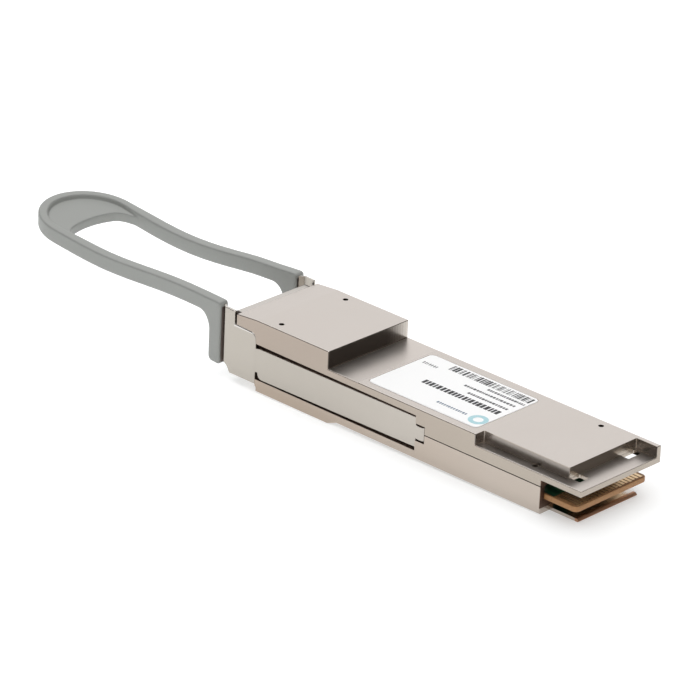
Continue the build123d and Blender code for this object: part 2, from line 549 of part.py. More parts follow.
def crescent(z0, z1):
    """Plan of the web: the end of the loop up to a concave inner edge."""
    p = lambda x, y: Vector(x, y, z0)
    e = Edge.make_spline([p(-110.9, 7.2), p(-112.8, 6.45), p(-114.5, 5.6), p(-115.45, 3.6), p(-115.85, 0), p(-115.45, -3.6), p(-114.5, -5.6),
                          p(-112.8, -6.45), p(-110.9, -7.2)])
    w = Wire([e, Edge.make_line(p(-110.9, -7.2), p(-110.9, -12)), Edge.make_line(p(-110.9, -12), p(-127, -12)),
              Edge.make_line(p(-127, -12), p(-127, 12)), Edge.make_line(p(-127, 12), p(-110.9, 12)),
              Edge.make_line(p(-110.9, 12), p(-110.9, 7.2))])
    return extrude(Face(w), amount=z1 - z0, dir=(0, 0, 1))


ring = outline(0.0, 0.0, -1, 15) - (outline(2.05, 1.65, -2, 16) - both(-80.6, -70, LEG_IN, 12, -3, 17))
tab = tab_profile(0.0, TAB_H, True) & ring
web = tab_profile(0.75, TAB_H - 0.2, False) & (outline(0.7, 0.7, -1, 15) & crescent(-1, 15))
pull_tab = tab + web
# slots in the ends of the legs, where the plates come out
pull_tab -= both(-75.98, LEG_X1 + 0.1, 8.12, 9.08, LEG_Z0 + 0.45, 11.1)


if __name__ == "__main__":
    pull_tab = pull_tab - arm_left - arm_right

    label = rbox(LABEL[0], LABEL[1], LABEL[2], LABEL[3], HEIGHT - 0.07, HEIGHT + 0.04, 0.9)

    put("upper_cover", upper)
    put("lower_cover", lower)
    put("port_block", port)
    for side, y in YS.items():
        put("optical_body_" + side, optical_body(y))
        put("ferrule_sleeve_" + side, sleeve(y))
        put("laser_can_" + side, laser_can(y))
        put("detector_can_" + side, detector_can(y))
        put("laser_flex_" + side, laser_flex(y))
        put("detector_flex_" + side, detector_flex(y))
    put("gasket_plate", gasket)
    put("optics_clamp", clamp)
    put("main_card", card)
    put("contacts_top", pads_top)
    put("contacts_bottom", pads_bottom)
    put("retimer_chip", retimer)
    put("thermal_pad", thermal_pad)
    put("driver_chips", driver)
    put("control_chip", control)
    put("regulator_chip", regulator)
    put("timing_crystal", crystal)
    put("power_inductors", inductors)
    put("chip_capacitors", caps)
    put("nose_screws", nose_screws)
    put("tail_screws", tail_screws)
    put("label", label)
    put("latch_arm_left", arm_left)
    put("latch_arm_right", arm_right)
    put("return_spring_left", spring_coil(SPRING_Y))
    put("return_spring_right", spring_coil(-SPRING_Y))
    put("pull_tab", pull_tab)
    for row in written:
        print(*row)
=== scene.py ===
import bpy
import bmesh
import json
import math
import numpy as np
from mathutils import Vector, Matrix


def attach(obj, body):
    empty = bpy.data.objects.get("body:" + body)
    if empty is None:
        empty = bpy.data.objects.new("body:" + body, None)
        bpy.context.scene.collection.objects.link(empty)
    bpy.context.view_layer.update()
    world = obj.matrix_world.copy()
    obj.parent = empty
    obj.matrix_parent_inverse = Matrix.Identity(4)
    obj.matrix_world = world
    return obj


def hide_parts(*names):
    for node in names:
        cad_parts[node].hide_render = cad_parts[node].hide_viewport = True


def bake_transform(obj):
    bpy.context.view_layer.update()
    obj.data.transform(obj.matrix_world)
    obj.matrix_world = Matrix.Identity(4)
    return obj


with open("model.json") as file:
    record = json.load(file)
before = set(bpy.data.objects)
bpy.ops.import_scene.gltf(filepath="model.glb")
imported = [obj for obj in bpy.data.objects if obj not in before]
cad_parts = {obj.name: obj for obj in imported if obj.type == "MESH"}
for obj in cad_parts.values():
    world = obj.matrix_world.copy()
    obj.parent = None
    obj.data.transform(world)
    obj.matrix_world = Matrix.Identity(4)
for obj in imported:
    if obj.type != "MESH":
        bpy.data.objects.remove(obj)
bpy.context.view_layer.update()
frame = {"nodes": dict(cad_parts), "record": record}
NODES = frame["nodes"]

MM = 0.001
SX, SZ = 62.2, 0.75          # design millimetres to the row frame


def P(x, y, z):
    """Design point (mm, x = 0 at the tongue's end) to the row frame in metres."""
    return Vector(((x + SX) * MM, y * MM, (z + SZ) * MM))


scene = bpy.context.scene
scene.view_settings.view_transform = "Standard"
scene.view_settings.look = "None"
scene.view_settings.exposure = 0.0
scene.view_settings.gamma = 1.0

# ---------------------------------------------------------------------------
# camera
# ---------------------------------------------------------------------------
az, el, roll = 0.740652571, 0.428307777, 0.0460787857
tgt = Vector((-49.5667671, -7.32355606, 12.2121343))
dist = 694.833506
back = Vector((math.sin(az) * math.cos(el), -math.cos(az) * math.cos(el), math.sin(el)))
fwd = -back
right = fwd.cross(Vector((0, 0, 1))).normalized()
up = right.cross(fwd)
r2 = math.cos(roll) * right + math.sin(roll) * up
u2 = -math.sin(roll) * right + math.cos(roll) * up
cam_pos = tgt + dist * back
cam_data = bpy.data.cameras.new("camera")
cam_data.sensor_width = 36.0
cam_data.lens = 4472.50136 / 700.0 * 36.0
cam_data.clip_start = 0.01
cam_data.clip_end = 50.0
cam = bpy.data.objects.new("camera", cam_data)
scene.collection.objects.link(cam)
cp = P(*cam_pos)
cam.matrix_world = Matrix(((r2.x, u2.x, back.x, cp.x), (r2.y, u2.y, back.y, cp.y), (r2.z, u2.z, back.z, cp.z), (0, 0, 0, 1)))
scene.camera = cam
CAM_DIR = back.copy()


# ---------------------------------------------------------------------------
# materials
# ---------------------------------------------------------------------------
class Mat:
    """Small helper around a node tree."""

    def __init__(self, name):
        self.m = bpy.data.materials.new(name)
        self.m.use_nodes = True
        self.t = self.m.node_tree
        self.t.nodes.clear()
        self.out = self.n("ShaderNodeOutputMaterial")
        self.bsdf = self.n("ShaderNodeBsdfPrincipled")
        self.t.links.new(self.bsdf.outputs[0], self.out.inputs[0])
        self.tc = self.n("ShaderNodeTexCoord")

    def n(self, kind, **kw):
        node = self.t.nodes.new(kind)
        for k, v in kw.items():
            setattr(node, k, v)
        return node

    def link(self, a, b):
        self.t.links.new(a, b)

    def set(self, **kw):
        for k, v in kw.items():
            self.bsdf.inputs[k.replace("_", " ")].default_value = v

    def mapping(self, scale=(1, 1, 1), loc=(0, 0, 0), rot=(0, 0, 0)):
        mp = self.n("ShaderNodeMapping")
        mp.inputs["Scale"].default_value = scale
        mp.inputs["Location"].default_value = loc
        mp.inputs["Rotation"].default_value = rot
        self.link(self.tc.outputs["Object"], mp.inputs[0])
        return mp.outputs[0]

    def noise(self, vec, scale, detail=2.0, rough=0.5, dims="3D"):
        nz = self.n("ShaderNodeTexNoise")
        nz.noise_dimensions = dims
        nz.inputs["Scale"].default_value = scale
        nz.inputs["Detail"].default_value = detail
        nz.inputs["Roughness"].default_value = rough
        self.link(vec, nz.inputs["Vector"])
        return nz.outputs["Fac"]

    def ramp(self, fac, stops, interp="LINEAR"):
        r = self.n("ShaderNodeValToRGB")
        r.color_ramp.interpolation = interp
        els = r.color_ramp.elements
        while len(els) < len(stops):
            els.new(0.5)
        for e, (p, c) in zip(els, stops):
            e.position = p
            e.color = c if len(c) == 4 else (*c, 1)
        self.link(fac, r.inputs[0])
        return r.outputs[0]

    def maprange(self, fac, a, b, c, d):
        r = self.n("ShaderNodeMapRange")
        for k, v in zip(("From Min", "From Max", "To Min", "To Max"), (a, b, c, d)):
            r.inputs[k].default_value = v
        self.link(fac, r.inputs["Value"])
        return r.outputs[0]

    def bump(self, height, strength, distance):
        b = self.n("ShaderNodeBump")
        b.inputs["Strength"].default_value = strength
        b.inputs["Distance"].default_value = distance
        self.link(height, b.inputs["Height"])
        self.link(b.outputs[0], self.bsdf.inputs["Normal"])
        return b



def mask_box(m, x=None, y=None, z=None, absy=False, soft=0.02):
    """1 inside a design-millimetre box, 0 outside, from the object's own coordinates."""
    sep = m.n("ShaderNodeSeparateXYZ")
    m.link(m.tc.outputs["Object"], sep.inputs[0])
    outs = {"x": sep.outputs[0], "y": sep.outputs[1], "z": sep.outputs[2]}
    if absy:
        ab = m.n("ShaderNodeMath", operation="ABSOLUTE")
        m.link(outs["y"], ab.inputs[0])
        outs["y"] = ab.outputs[0]
    off = {"x": SX, "y": 0.0, "z": SZ}
    total = None
    for key, rng in (("x", x), ("y", y), ("z", z)):
        if rng is None:
            continue
        for value, sign in ((rng[0], 1), (rng[1], -1)):
            if value is None:
                continue
            v = (value + off[key]) * MM
            w = soft * MM
            r = m.n("ShaderNodeMapRange", interpolation_type="SMOOTHSTEP")
            r.inputs["From Min"].default_value = v - w
            r.inputs["From Max"].default_value = v + w
            r.inputs["To Min"].default_value = 0.0 if sign > 0 else 1.0
            r.inputs["To Max"].default_value = 1.0 if sign > 0 else 0.0
            m.link(outs[key], r.inputs["Value"])
            if total is None:
                total = r.outputs[0]
            else:
                mul = m.n("ShaderNodeMath", operation="MULTIPLY")
                m.link(total, mul.inputs[0])
                m.link(r.outputs[0], mul.inputs[1])
                total = mul.outputs[0]
    return total


def math2(m, op, a, b):
    nd = m.n("ShaderNodeMath", operation=op)
    for i, v in enumerate((a, b)):
        if isinstance(v, (int, float)):
            nd.inputs[i].default_value = v
        else:
            m.link(v, nd.inputs[i])
    return nd.outputs[0]


def mixc(m, fac, a, b, blend="MIX"):
    """Mixes two colours; either may be a plain tuple."""
    nd = m.n("ShaderNodeMixRGB", blend_type=blend)
    if isinstance(fac, (int, float)):
        nd.inputs[0].default_value = fac
    else:
        m.link(fac, nd.inputs[0])
    for i, v in ((1, a), (2, b)):
        if isinstance(v, tuple):
            nd.inputs[i].default_value = (*v, 1)
        else:
            m.link(v, nd.inputs[i])
    return nd.outputs[0]


def normal_axis(m, axis):
    """Absolute component of the surface's own normal in object space."""
    sep = m.n("ShaderNodeSeparateXYZ")
    m.link(m.tc.outputs["Normal"], sep.inputs[0])
    ab = m.n("ShaderNodeMath", operation="ABSOLUTE")
    m.link(sep.outputs[axis], ab.inputs[0])
    return ab.outputs[0]


def metal(name, colour, rough, grain=0.015, stretch=(1, 1, 1), bump=0.03, tone=0.02, patches=(), flank_shade_paint=None, lower_cover_shade_paint=None):
    """Satin plated metal: fine grain, slow tone drift, soft handling smudges; optional painted shade that darkens the
    flank faces against the tops, and boxed patches, some of them painted shade or painted highlight.
    """
    m = Mat(name)
    m.set(Metallic=1.0)
    fine = m.noise(m.mapping(scale=stretch), 3400.0, 3.0, 0.65)
    mid = m.noise(m.mapping(scale=(0.35, 1, 1)), 420.0, 3.0, 0.55)
    wide = m.noise(m.mapping(), 60.0, 2.0, 0.5)
    lo = tuple(c * (1 - grain) for c in colour)
    hi = tuple(min(1, c * (1 + grain)) for c in colour)
    col = m.ramp(fine, [(0.32, lo), (0.68, hi)])
    drift = m.ramp(wide, [(0.3, (1 - tone, 1 - tone * 1.15, 1 - tone * 1.4)), (0.7, (1, 1, 1))])
    col = mixc(m, 1.0, col, drift, "MULTIPLY")
    # painted shade: flank faces take a darker, tinted colour than the tops, blending along the length, with their own
    # tint on the lower cover
    if flank_shade_paint:
        nz = normal_axis(m, 2)
        up = m.maprange(nz, 0.35, 0.65, 1.0, 0.0)
        sx = m.n("ShaderNodeSeparateXYZ")
        m.link(m.tc.outputs["Object"], sx.inputs[0])
        along = m.maprange(sx.outputs[0], (-58 + SX) * MM, (-18 + SX) * MM, 0.0, 1.0)
        flank = mixc(m, along, flank_shade_paint[0], flank_shade_paint[1])
        if lower_cover_shade_paint:
            high = m.maprange(sx.outputs[2], (4.5 + SZ) * MM, (4.6 + SZ) * MM, 0.0, 1.0)
            flank = mixc(m, high, mixc(m, along, lower_cover_shade_paint[0], lower_cover_shade_paint[1]), flank)
        painted_flank_mul = mixc(m, 1.0, flank, m.ramp(wide, [(0.2, (0.99, 0.99, 0.99)), (0.8, (1, 1, 1))]), "MULTIPLY")
        col = mixc(m, up, col, mixc(m, 1.0, col, painted_flank_mul, "MULTIPLY"))
    rg = m.maprange(mid, 0.3, 0.7, rough * 0.95, rough * 1.06)
    for box, lo, hi, add in patches:
        k = mask_box(m, **box)
        if lo is not None:
            col = mixc(m, k, col, m.ramp(fine, [(0.3, lo), (0.7, hi)]))
        if add:
            rg = math2(m, "ADD", rg, math2(m, "MULTIPLY", k, add))
    m.link(col, m.bsdf.inputs["Base Color"])
    m.link(rg, m.bsdf.inputs["Roughness"])
    m.bump(fine, bump, 0.000004)
    return m


def plastic(name, colour, rough=0.5, var=0.03, bump=0.08, scale=4000.0, depth=0.000006):
    """Moulded plastic or another dull solid with a fine eroded texture."""
    m = Mat(name)
    m.set(IOR=1.46)
    fine = m.noise(m.mapping(), scale, 2.0, 0.5)
    wide = m.noise(m.mapping(), scale / 45.0, 2.0, 0.5)
    lo = tuple(c * (1 - var) for c in colour)
    hi = tuple(min(1, c * (1 + var)) for c in colour)
    col = m.ramp(fine, [(0.3, lo), (0.7, hi)])
    col = mixc(m, 1.0, col, m.ramp(wide, [(0.3, (1 - var, 1 - var, 1 - var)), (0.7, (1, 1, 1))]), "MULTIPLY")
    m.link(col, m.bsdf.inputs["Base Color"])
    m.link(m.maprange(fine, 0.3, 0.7, rough * 0.93, rough * 1.07), m.bsdf.inputs["Roughness"])
    m.bump(fine, bump, depth)
    return m


def moulding(name, colour):
    """Matt moulded thermoplastic, with painted light by surface direction: sides a little paler than the top, painted
    shade along the rounded top edge, and painted shade in the seats at the leg ends.
    """
    m = Mat(name)
    m.set(IOR=1.46)
    fine = m.noise(m.mapping(), 3200.0, 2.0, 0.5)
    wide = m.noise(m.mapping(), 75.0, 2.0, 0.5)
    lo = tuple(c * 0.98 for c in colour)
    hi = tuple(c * 1.02 for c in colour)
    col = m.ramp(fine, [(0.3, lo), (0.7, hi)])
    col = mixc(m, 1.0, col, m.ramp(wide, [(0.3, (0.98, 0.98, 0.98)), (0.7, (1, 1, 1))]), "MULTIPLY")
    # painted light and shade by the normal: sides paler, a darker band on the rounded top edge
    tone = m.ramp(normal_axis(m, 2), [(0.0, (1, 1, 1)), (0.22, (0.97, 0.97, 0.97)), (0.48, (0.78, 0.78, 0.78)), (0.8, (0.73, 0.73, 0.73)),
                                      (0.97, (0.87, 0.87, 0.87))])
    col = mixc(m, 1.0, col, tone, "MULTIPLY")
    # painted shade in the seats at the leg ends
    seat = mask_box(m, x=(-76.1, None), y=(8.1, 9.1), z=(1.6, 11.2), absy=True)
    col = mixc(m, seat, col, m.ramp(fine, [(0.3, (0.17, 0.13, 0.12)), (0.7, (0.19, 0.15, 0.138))]))
    m.link(col, m.bsdf.inputs["Base Color"])
    m.link(m.maprange(fine, 0.3, 0.7, 0.47, 0.54), m.bsdf.inputs["Roughness"])
    m.bump(fine, 0.12, 0.000006)
    return m


def board(name):
    """Circuit card: green mask over copper, bare tan laminate at the edges and ahead of the mask."""
    m = Mat(name)
    m.set(IOR=1.5)
    fine = m.noise(m.mapping(), 3600.0, 2.0, 0.5)
    weave = m.n("ShaderNodeTexWave", wave_type="BANDS", bands_direction="Z")
    weave.inputs["Scale"].default_value = 2200.0
    weave.inputs["Distortion"].default_value = 1.2
    weave.inputs["Detail"].default_value = 1.0
    m.link(m.tc.outputs["Object"], weave.inputs["Vector"])
    tan = m.ramp(fine, [(0.3, (0.44, 0.225, 0.09)), (0.7, (0.53, 0.285, 0.125))])
    edge = mixc(m, 1.0, tan, m.ramp(weave.outputs["Fac"], [(0.2, (0.80, 0.76, 0.72)), (0.6, (1, 1, 1))]), "MULTIPLY")
    upface = m.maprange(normal_axis(m, 2), 0.6, 0.8, 0.0, 1.0)
    edge = mixc(m, upface, edge, mixc(m, 1.0, edge, (0.62, 0.60, 0.58), "MULTIPLY"))
    # traces under the mask: thin lines along X
    tr = m.n("ShaderNodeTexWave", wave_type="BANDS", bands_direction="Y")
    tr.inputs["Scale"].default_value = 196.0
    tr.inputs["Distortion"].default_value = 0.0
    m.link(m.tc.outputs["Object"], tr.inputs["Vector"])
    lines = m.maprange(tr.outputs["Fac"], 0.55, 0.7, 0.0, 1.0)
    green = mixc(m, lines, (0.012, 0.055, 0.028), (0.02, 0.095, 0.045))
    green = mixc(m, 1.0, green, m.ramp(fine, [(0.3, (0.93, 0.93, 0.93)), (0.7, (1, 1, 1))]), "MULTIPLY")
    flat = m.maprange(normal_axis(m, 2), 0.6, 0.8, 0.0, 1.0)
    masked = mask_box(m, x=(None, CARD_MASK_X), y=(-7.95, 7.95))
    k = math2(m, "MULTIPLY", flat, masked)
    m.link(mixc(m, k, edge, green), m.bsdf.inputs["Base Color"])
    m.link(m.maprange(k, 0.0, 1.0, 0.55, 0.28), m.bsdf.inputs["Roughness"])
    m.bump(fine, 0.05, 0.000005)
    return m


CARD_MASK_X = -6.2
COVER_PATCHES = [
    # painted shade, with a duller finish, in the latch groove and along the parting line, and a painted dark reflection
    # on the cut ends
    (dict(x=(-72.3, -31.5), y=(None, 8.56), z=(1.2, 7.35), absy=True), (0.10, 0.066, 0.053), (0.135, 0.09, 0.073), 0.35),
    (dict(x=(-31.9, -7.7), y=(None, 9.14), z=(4.45, 4.65), absy=True, soft=0.01), (0.06, 0.042, 0.036), (0.08, 0.056, 0.048), 0.3),
    (dict(x=(-7.93, -7.6), z=(0.9, 5.6)), (0.13, 0.085, 0.065), (0.17, 0.115, 0.09), 0.2),
    # painted reflection of the card on the edge of the lower tongue
    (dict(x=(-2.75, -1.9), z=(-0.1, 0.6)), (0.42, 0.23, 0.14), (0.48, 0.27, 0.17), 0.15),
    # machined floors, and painted shade on the channel walls
    (dict(x=(-21.45, 0.1), y=(-7.25, -7.1), z=(6.75, 8.36)), (0.36, 0.325, 0.295), (0.39, 0.35, 0.32), 0.04),
    (dict(x=(-21.5, 0.1), z=(6.5, 6.72)), None, None, 0.07),
    (dict(x=(-21.45, -21.15), y=(None, -7.3), z=(6.75, 8.4)), (0.28, 0.25, 0.23), (0.31, 0.28, 0.255), 0.04),
    (dict(x=(-4.0, 0.1), y=(8.2, 8.36), z=(6.75, 8.4)), (0.30, 0.27, 0.25), (0.33, 0.30, 0.275), 0.04),
    # painted shade on the hood's rear wall, and a rougher strip of floor at its foot
    (dict(x=(-52.45, -52.25), y=(None, 4.4), z=(8.6, 11.45)), (0.118, 0.102, 0.088), (0.13, 0.112, 0.097), 0.03),
    (dict(x=(-52.3, -46.0), z=(8.3, 8.62)), None, None, 0.115),
]
# the painted shade on the same wall lightens towards its far end
for step in range(8):
    share = ((step + 1) / 8.0) ** 1.5
    wall_shade_tint = [0.124 + 0.446 * share, 0.107 + 0.418 * share, 0.092 + 0.388 * share]
    COVER_PATCHES.append((dict(x=(-52.45, -52.25), y=(4.4 + 0.6 * step, 5.0 + 0.6 * step), z=(8.6, 11.45)),
                          tuple(v * 0.95 for v in wall_shade_tint), tuple(v * 1.05 for v in wall_shade_tint), 0.03))
# painted shade on the port block's sides beside the hood
PORT_SHADE_PATCHES = [(dict(x=(-74.2, -72.2), y=(7.6, 9.0), absy=True), (0.06, 0.05, 0.045), (0.08, 0.066, 0.06), 0.2)]
# painted highlight on the rim of the side plate
ARM_HIGHLIGHT_PATCHES = [
    (dict(x=(-72.9, -68.3), y=(9.1, 9.4), z=(8.93, 9.5), absy=True, soft=0.05), (0.60, 0.575, 0.545), (0.62, 0.595, 0.565), 0.0),
]
MATS = {}
MATS["nickel_zinc"] = metal("nickel_zinc", (0.725, 0.668, 0.622), 0.22, grain=0.02, patches=COVER_PATCHES,
                            flank_shade_paint=((0.548, 0.505, 0.465), (0.64, 0.615, 0.57)), lower_cover_shade_paint=((0.61, 0.548, 0.485), (0.735, 0.70, 0.662)))
MATS["port_metal"] = metal("port_metal", (0.68, 0.64, 0.60), 0.32, patches=PORT_SHADE_PATCHES)
MATS["bright_steel"] = metal("bright_steel", (0.75, 0.74, 0.73), 0.2, stretch=(0.1, 1, 1))
MATS["arm_steel"] = metal("arm_steel", (0.735, 0.70, 0.655), 0.25, grain=0.015, patches=ARM_HIGHLIGHT_PATCHES, flank_shade_paint=((0.625, 0.607, 0.582), (0.74, 0.72, 0.70)))
MATS["spring_steel"] = metal("spring_steel", (0.66, 0.66, 0.66), 0.25)
MATS["screw_steel"] = metal("screw_steel", (0.50, 0.49, 0.48), 0.3)
MATS["gold_plate"] = metal("gold_plate", (0.86, 0.66, 0.30), 0.22)
MATS["gold_contact"] = metal("gold_contact", (0.90, 0.68, 0.42), 0.33, stretch=(0.1, 1, 1))
MATS["zirconia"] = plastic("zirconia", (0.82, 0.81, 0.77), 0.15, var=0.01)
MATS["amber_film"] = plastic("amber_film", (0.45, 0.2, 0.04), 0.3)
MATS["dark_rubber"] = plastic("dark_rubber", (0.03, 0.03, 0.032), 0.7)
MATS["circuit_board"] = board("circuit_board")
MATS["chip_epoxy"] = plastic("chip_epoxy", (0.02, 0.02, 0.022), 0.5, var=0.12)
MATS["pad_silicone"] = plastic("pad_silicone", (0.4, 0.36, 0.4), 0.8)
MATS["ferrite"] = plastic("ferrite", (0.08, 0.08, 0.085), 0.6, var=0.08)
MATS["ceramic_tan"] = plastic("ceramic_tan", (0.4, 0.29, 0.18), 0.5)
MATS["label_film"] = plastic("label_film", (0.875, 0.875, 0.875), 0.42, var=0.006, bump=0.02)
MATS["tab_plastic"] = moulding("tab_plastic", (0.345, 0.354, 0.337))
MATS["print_black"] = plastic("print_black", (0.018, 0.018, 0.02), 0.5, var=0.1, bump=0.02)
MATS["print_grey"] = plastic("print_grey", (0.07, 0.07, 0.075), 0.5, var=0.1, bump=0.02)
MATS["print_teal"] = plastic("print_teal", (0.40, 0.63, 0.68), 0.5, var=0.08, bump=0.02)
MATS["print_slate"] = plastic("print_slate", (0.10, 0.15, 0.22), 0.5, var=0.05, bump=0.02)

slot_of = {s["node"]: s["material_slot"] for s in frame["record"]["subparts"]}
for name, ob in NODES.items():
    ob.data.materials.clear()
    ob.data.materials.append(MATS[slot_of[name]].m)


# ---------------------------------------------------------------------------
# pieces
# ---------------------------------------------------------------------------
def new_object(name, mesh, mat, body):
    ob = bpy.data.objects.new(name, mesh)
    scene.collection.objects.link(ob)
    mesh.materials.clear()
    mesh.materials.append(mat.m)
    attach(ob, body)
    return ob


def applied(ob):
    """The object's mesh after its modifiers, as a new mesh."""
    dg = bpy.context.evaluated_depsgraph_get()
    dg.update()
    return bpy.data.meshes.new_from_object(ob.evaluated_get(dg), depsgraph=dg)


# pull tab: the moulded part as one smooth form with every edge rounded.  It is
# worked out as a distance field from the side outline and the plan outline,
# then meshed on a fine grid.
def cubic(points, t0=None, t1=None, step=0.25):
    """Smooth curve through the points, with optional end directions, as dense points."""
    p = np.array(points, float)
    s = np.concatenate([[0], np.cumsum(np.hypot(*np.diff(p, axis=0).T))])
    n = len(p)
    h = np.diff(s)
    M = np.zeros((n, n))
    R = np.zeros((n, 2))
    for i in range(1, n - 1):
        M[i, i - 1], M[i, i], M[i, i + 1] = h[i], 2 * (h[i - 1] + h[i]), h[i - 1]
        R[i] = 3 * (h[i] * (p[i] - p[i - 1]) / h[i - 1] + h[i - 1] * (p[i + 1] - p[i]) / h[i])
    if t0 is None:
        M[0, 0], M[0, 1] = 2, 1
        R[0] = 3 * (p[1] - p[0]) / h[0]
    else:
        M[0, 0] = 1
        R[0] = t0
    if t1 is None:
        M[-1, -1], M[-1, -2] = 2, 1
        R[-1] = 3 * (p[-1] - p[-2]) / h[-1]
    else:
        M[-1, -1] = 1
        R[-1] = t1
    d = np.linalg.solve(M, R)
    out = []
    for i in range(n - 1):
        k = max(2, int(math.ceil(h[i] / step)))
        for j in range(k):
            u = j / k
            h00, h10 = 2 * u ** 3 - 3 * u ** 2 + 1, u ** 3 - 2 * u ** 2 + u
            h01, h11 = -2 * u ** 3 + 3 * u ** 2, u ** 3 - u ** 2
            out.append(h00 * p[i] + h10 * h[i] * d[i] + h01 * p[i + 1] + h11 * h[i] * d[i + 1])
    out.append(p[-1])
    return [tuple(map(float, q)) for q in out]


def arc(cx, cy, r, a0, a1, n=24):
    return [(cx + r * math.cos(math.radians(a0 + (a1 - a0) * i / n)), cy + r * math.sin(math.radians(a0 + (a1 - a0) * i / n)))
            for i in range(n + 1)]


def flat_distance(poly, gx, gy):
    """Signed distance from every grid point to a closed outline, negative inside."""
    X, Y = np.meshgrid(gx, gy, indexing="ij")
    best = np.full(X.shape, 1e9)
    inside = np.zeros(X.shape, bool)
    q = np.array(poly, float)
    for a, b in zip(q, np.roll(q, -1, axis=0)):
        e = b - a
        L = float(e @ e)
        if L < 1e-14:
            continue
        t = np.clip(((X - a[0]) * e[0] + (Y - a[1]) * e[1]) / L, 0, 1)
        best = np.minimum(best, (X - a[0] - t * e[0]) ** 2 + (Y - a[1] - t * e[1]) ** 2)
        if a[1] != b[1]:
            cross = ((a[1] > Y) != (b[1] > Y)) & (X < a[0] + (Y - a[1]) * e[0] / (b[1] - a[1]))
            inside ^= cross
    d = np.sqrt(best)
    return np.where(inside, -d, d)


def round_meet(a, b, r):
    """Where both distances are negative, with the meeting edge rounded to r."""
    u, v = a + r, b + r
    return np.minimum(np.maximum(u, v), 0) + np.sqrt(np.maximum(u, 0) ** 2 + np.maximum(v, 0) ** 2) - r


def soft_join(a, b, r):
    """Where either distance is negative, with a fillet of about r in the corner."""
    h = np.clip(0.5 + 0.5 * (b - a) / r, 0, 1)
    return b * (1 - h) + a * h - r * h * (1 - h)


def grid_surface(F, gx, gy, gz):
    """Closed quad mesh of the zero level of a field given on a grid."""
    S = F < 0
    nx, ny, nz = F.shape
    tot = np.zeros((nx - 1, ny - 1, nz - 1, 3))
    cnt = np.zeros((nx - 1, ny - 1, nz - 1))
    corners = [(i, j, k) for i in (0, 1) for j in (0, 1) for k in (0, 1)]
    for c0 in corners:
        for ax in range(3):
            if c0[ax] == 1:
                continue
            c1 = list(c0)
            c1[ax] = 1
            sl0 = tuple(slice(c, n - 1 + c) for c, n in zip(c0, F.shape))
            sl1 = tuple(slice(c, n - 1 + c) for c, n in zip(c1, F.shape))
            f0, f1 = F[sl0], F[sl1]
            cut = S[sl0] != S[sl1]
            t = np.where(cut, f0 / np.where(cut, f0 - f1, 1), 0)
            for k in range(3):
                tot[..., k] += np.where(cut, (t if k == ax else c0[k]), 0)
            cnt += cut
    used = cnt > 0
    ids = np.full(used.shape, -1, np.int64)
    ids[used] = np.arange(int(used.sum()))
    I, J, K = np.nonzero(used)
    off = tot[used] / cnt[used][:, None]
    hx, hy, hz = gx[1] - gx[0], gy[1] - gy[0], gz[1] - gz[0]
    verts = np.stack([gx[I] + off[:, 0] * hx, gy[J] + off[:, 1] * hy, gz[K] + off[:, 2] * hz], axis=1)
    faces = []
    for ax in range(3):
        a, b = (ax + 1) % 3, (ax + 2) % 3
        lo = [slice(1, n - 1) for n in F.shape]
        lo[ax] = slice(0, F.shape[ax] - 1)
        hi = list(lo)
        hi[ax] = slice(1, F.shape[ax])
        s0, s1 = S[tuple(lo)], S[tuple(hi)]
        where = np.argwhere(s0 != s1)
        flip = s0[tuple(where.T)]
        base = where.copy()
        for k in range(3):
            if k != ax:
                base[:, k] += 1
        def cell(da, db):
            q = base.copy()
            q[:, a] -= da
            q[:, b] -= db
            return ids[tuple(q.T)]
        quad = np.stack([cell(1, 1), cell(0, 1), cell(0, 0), cell(1, 0)], axis=1)
        quad[~flip] = quad[~flip][:, ::-1]
        faces.append(quad)
    return verts, np.concatenate(faces)


TAB_TOP = [(-74.85, 12.0), (-80, 11.93), (-85, 11.8), (-90, 11.46), (-95, 11.08), (-100, 10.86), (-105, 10.93),
           (-110, 11.31), (-115, 11.78), (-120, 12.32), (-126.0, 12.95)]
TAB_SIDE = [(-74.0, 9.8), (-77.0, 9.62), (-80.0, 9.34), (-85.0, 9.0), (-90.0, 8.6), (-95.0, 8.42), (-100.0, 8.5), (-105.0, 8.68),
            (-110.0, 8.8), (-115.6, 8.8)]
LOOP_END, R_END, TAB_H = -124.4, 8.8, 2.6
LEG_X0, LEG_X1, LEG_Z0 = -78.4, -75.8, 1.3


def tab_outline(inset_bar, inset_end):
    """Plan outline of the loop, inset along the bars and round the end."""
    cx, re = LOOP_END + R_END, R_END - inset_end
    bar = [(x, y - inset_bar) for x, y in TAB_SIDE[:-1]]
    if abs(inset_bar - inset_end) > 1e-6:
        bar = bar[:-1] + [(-109.0, 8.79 - inset_bar), (-112.0, 8.8 - inset_bar + (inset_bar - inset_end) * 0.35)]
    bar.append((cx, re))
    side = cubic(bar, (-1, -0.055), (-1, 0))
    return side + arc(cx, 0, re, 90, 270, 96)[1:-1] + [(x, -y) for x, y in side[::-1]]


